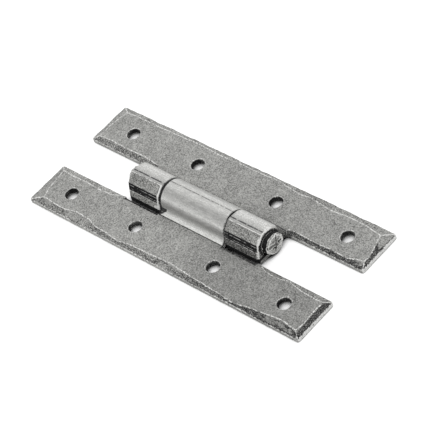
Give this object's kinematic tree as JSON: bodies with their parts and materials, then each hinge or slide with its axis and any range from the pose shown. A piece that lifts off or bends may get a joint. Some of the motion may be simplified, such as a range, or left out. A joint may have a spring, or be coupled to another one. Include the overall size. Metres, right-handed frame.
{
  "type": "h hinge",
  "caption": "Surface-mounted H-shaped cabinet hinge with long slim leaves, rolled knuckles and a hammered-over pin.",
  "frame": {"origin": "on the back plane of the leaves, under the middle of the pin", "axes": "+X along the pin, +Y towards the leaf with the outer knuckles, +Z out of the face of the leaves"},
  "size_m": [0.083, 0.0324, 0.0069],
  "materials": {
    "leaf_metal": "grained pewter-grey patina with worn hammered edges",
    "pin_metal": "hammered steel with a pewter-grey patina"
  },
  "bodies": {
    "outer_leaf": {"outer_knuckle_leaf": "leaf_metal", "hinge_pin": "pin_metal"},
    "centre_leaf": {"centre_knuckle_leaf": "leaf_metal"}
  },
  "joints": [
    {"name": "leaf_fold", "type": "hinge", "parent": "outer_leaf", "child": "centre_leaf", "pos_m": [0, 0, 0.003], "axis": [1, 0, 0], "range_deg": [-180, 110]}
  ]
}
